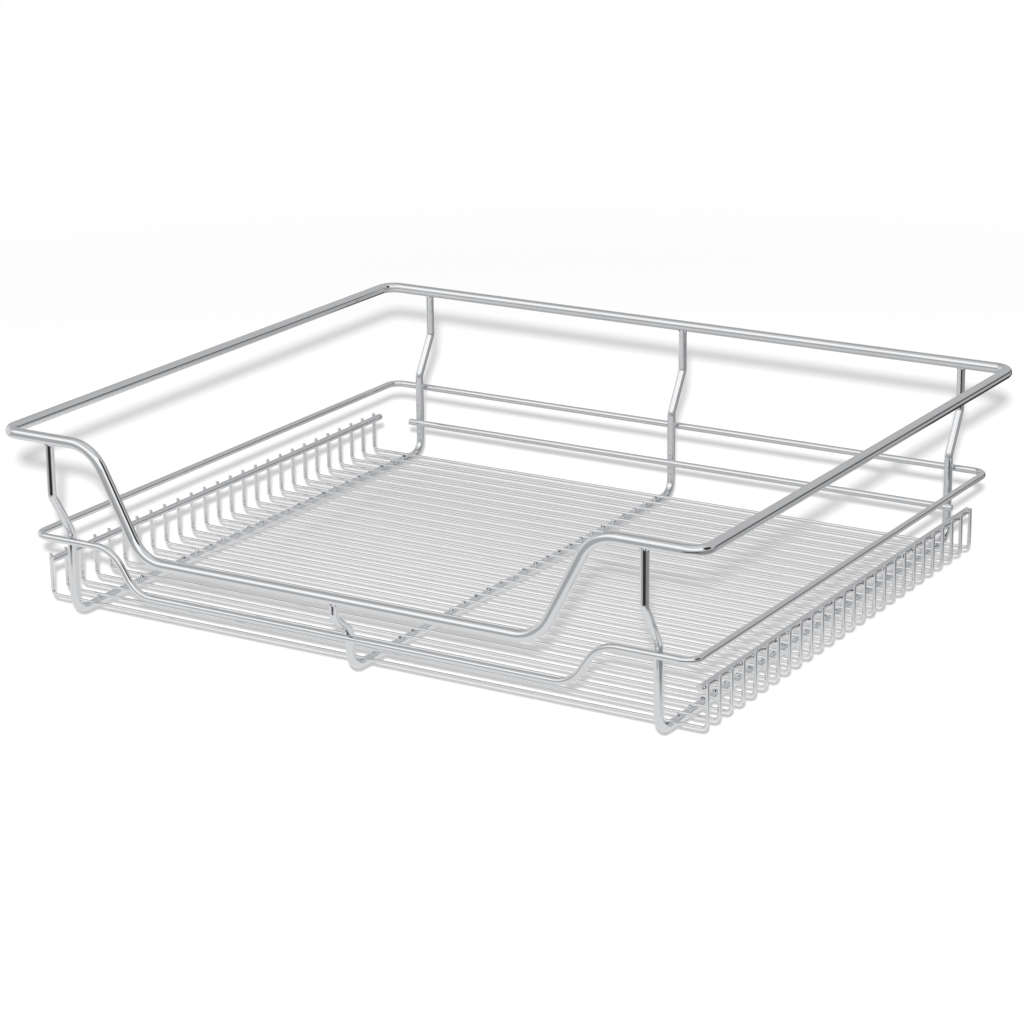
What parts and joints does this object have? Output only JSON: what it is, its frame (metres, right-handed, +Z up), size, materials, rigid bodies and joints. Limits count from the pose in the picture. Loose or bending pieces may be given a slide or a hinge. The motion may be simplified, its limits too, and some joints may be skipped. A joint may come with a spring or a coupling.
{
  "type": "pull-out wire basket",
  "caption": "Chromed wire basket for a kitchen cabinet, with a round-cornered rim that drops at the front, a middle rail, joggled supports and a floor of bent wires.",
  "frame": {"origin": "under the middle of the basket, at the height of the undersides of the three supports", "axes": "+X to the right as seen from the front, -Y towards the front, where the rim drops, and +Z up"},
  "size_m": [0.55, 0.49, 0.137],
  "materials": {
    "rim_wire": "polished",
    "rail_wire": "polished",
    "support_wire": "polished",
    "floor_wire": "polished"
  },
  "bodies": {
    "root": {"top_rim": "rim_wire", "middle_rail": "rail_wire", "lower_back_rail": "rail_wire", "left_support": "support_wire", "centre_support": "support_wire", "right_support": "support_wire", "left_side_wire": "rail_wire", "right_side_wire": "rail_wire", "floor_wire_01": "floor_wire", "floor_wire_02": "floor_wire", "floor_wire_03": "floor_wire", "floor_wire_04": "floor_wire", "floor_wire_05": "floor_wire", "floor_wire_06": "floor_wire", "floor_wire_07": "floor_wire", "floor_wire_08": "floor_wire", "floor_wire_09": "floor_wire", "floor_wire_10": "floor_wire", "floor_wire_11": "floor_wire", "floor_wire_12": "floor_wire", "floor_wire_13": "floor_wire", "floor_wire_14": "floor_wire", "floor_wire_15": "floor_wire", "floor_wire_16": "floor_wire", "floor_wire_17": "floor_wire", "floor_wire_18": "floor_wire", "floor_wire_19": "floor_wire", "floor_wire_20": "floor_wire", "floor_wire_21": "floor_wire", "floor_wire_22": "floor_wire", "floor_wire_23": "floor_wire", "floor_wire_24": "floor_wire", "floor_wire_25": "floor_wire", "floor_wire_26": "floor_wire"}
  },
  "joints": []
}
